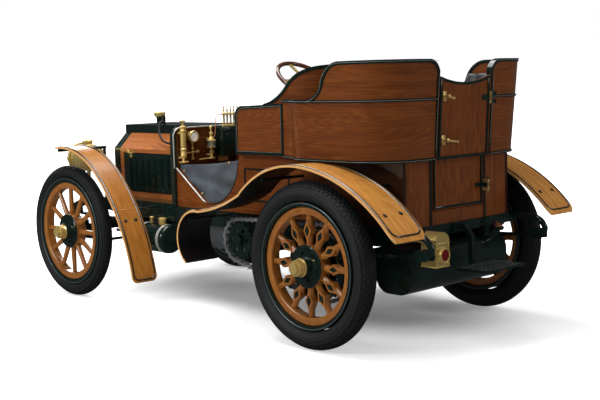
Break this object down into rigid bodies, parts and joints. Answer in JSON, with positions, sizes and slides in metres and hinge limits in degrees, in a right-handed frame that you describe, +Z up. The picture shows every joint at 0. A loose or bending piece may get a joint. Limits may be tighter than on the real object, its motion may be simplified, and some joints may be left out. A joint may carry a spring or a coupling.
{
  "type": "brass era car",
  "caption": "Chain-driven early motor car with a varnished wooden rear-entrance tonneau, spoked wooden wheels, bent wooden fenders and a louvred bonnet.",
  "frame": {"origin": "on the ground, midway along the car's length and width", "axes": "+X forward, +Y to the car's left, +Z up"},
  "size_m": [3.7, 1.74, 1.5837],
  "materials": {
    "body_wood": "gloss varnish",
    "ash_wood": "satin varnish",
    "green_paint": "gloss",
    "wheel_metal": "gloss",
    "brass": "polished",
    "leather": "satin",
    "tyre": "matte",
    "steel": "satin",
    "steering": "gloss"
  },
  "bodies": {
    "chassis": {"body_beading": "green_paint", "body_sides": "body_wood", "bonnet_deck": "green_paint", "bonnet_frame": "ash_wood", "bonnet_sills": "green_paint", "dash": "body_wood", "dash_instruments": "brass", "drive_chains": "steel", "driver_controls": "brass", "engine": "steel", "fender_stays": "green_paint", "floor": "body_wood", "frame_cross_members": "green_paint", "frame_rails": "green_paint", "front_axle": "green_paint", "front_fenders": "ash_wood", "front_seat_back": "body_wood", "front_seat_sides": "body_wood", "fuel_tank": "green_paint", "headlamps": "brass", "hinges": "brass", "leaf_springs": "green_paint", "leather_aprons": "leather", "radiator_core": "steel", "radiator_shell": "green_paint", "rear_axle": "green_paint", "rear_fenders": "ash_wood", "rear_panel": "body_wood", "rear_step": "green_paint", "seat_boxes": "body_wood", "seat_cushions": "leather", "seat_squabs": "leather", "side_tank": "green_paint", "spring_irons": "green_paint", "starting_handle": "steel", "tail_lamp": "brass", "tonneau_base": "body_wood", "tonneau_walls": "body_wood", "transmission": "green_paint", "undertray": "steel"},
    "knuckle_left": {"knuckle_left": "green_paint"},
    "knuckle_right": {"knuckle_right": "green_paint"},
    "tie_rod": {"tie_rod": "green_paint"},
    "steering_wheel": {"steering_wheel": "steering"},
    "rear_door": {"rear_door": "body_wood"},
    "bonnet_flap_left": {"bonnet_flap_left": "green_paint"},
    "bonnet_flap_right": {"bonnet_flap_right": "green_paint"},
    "front_wheel_left": {"tyre_front_left": "tyre", "wheel_front_left": "ash_wood", "hub_front_left": "wheel_metal"},
    "front_wheel_right": {"tyre_front_right": "tyre", "wheel_front_right": "ash_wood", "hub_front_right": "wheel_metal"},
    "rear_wheel_left": {"tyre_rear_left": "tyre", "wheel_rear_left": "ash_wood", "hub_rear_left": "wheel_metal"},
    "rear_wheel_right": {"tyre_rear_right": "tyre", "wheel_rear_right": "ash_wood", "hub_rear_right": "wheel_metal"}
  },
  "joints": [
    {"name": "steer_left", "type": "hinge", "parent": "chassis", "child": "knuckle_left", "pos_m": [1.3, 0.63, 0.455], "axis": [0, 0, 1], "range_deg": [-27, 27]},
    {"name": "steer_right", "type": "hinge", "parent": "chassis", "child": "knuckle_right", "pos_m": [1.3, -0.63, 0.455], "axis": [0, 0, 1], "range_deg": [-27, 27]},
    {"name": "tie_rod_pivot", "type": "hinge", "parent": "knuckle_left", "child": "tie_rod", "pos_m": [1.16, 0.63, 0.38], "axis": [0, 0, 1], "range_deg": [-27, 27]},
    {"name": "steering_wheel_turn", "type": "hinge", "parent": "chassis", "child": "steering_wheel", "pos_m": [-0.07, -0.25, 1.455], "axis": [-0.5736, 0, 0.8192], "range_deg": [-216, 216]},
    {"name": "front_wheel_left_roll", "type": "hinge", "parent": "knuckle_left", "child": "front_wheel_left", "pos_m": [1.3, 0.735, 0.455], "axis": [0, 1, 0], "continuous": true},
    {"name": "front_wheel_right_roll", "type": "hinge", "parent": "knuckle_right", "child": "front_wheel_right", "pos_m": [1.3, -0.735, 0.455], "axis": [0, 1, 0], "continuous": true},
    {"name": "rear_wheel_left_roll", "type": "hinge", "parent": "chassis", "child": "rear_wheel_left", "pos_m": [-1.1, 0.735, 0.46], "axis": [0, 1, 0], "continuous": true},
    {"name": "rear_wheel_right_roll", "type": "hinge", "parent": "chassis", "child": "rear_wheel_right", "pos_m": [-1.1, -0.735, 0.46], "axis": [0, 1, 0], "continuous": true},
    {"name": "rear_door_hinge", "type": "hinge", "parent": "chassis", "child": "rear_door", "pos_m": [-1.575, -0.218, 1.027], "axis": [-0.039, 0, 0.9992], "range_deg": [0, 95]},
    {"name": "bonnet_flap_left_hinge", "type": "hinge", "parent": "chassis", "child": "bonnet_flap_left", "pos_m": [0.885, 0.317, 0.9745], "axis": [1, 0, 0], "range_deg": [0, 75]},
    {"name": "bonnet_flap_right_hinge", "type": "hinge", "parent": "chassis", "child": "bonnet_flap_right", "pos_m": [0.885, -0.317, 0.9745], "axis": [-1, 0, 0], "range_deg": [0, 75]}
  ],
  "couplings": [
    {"joint": "steer_right", "follows": "steer_left", "ratio": 1},
    {"joint": "tie_rod_pivot", "follows": "steer_left", "ratio": -1},
    {"joint": "steering_wheel_turn", "follows": "steer_left", "ratio": 8}
  ]
}
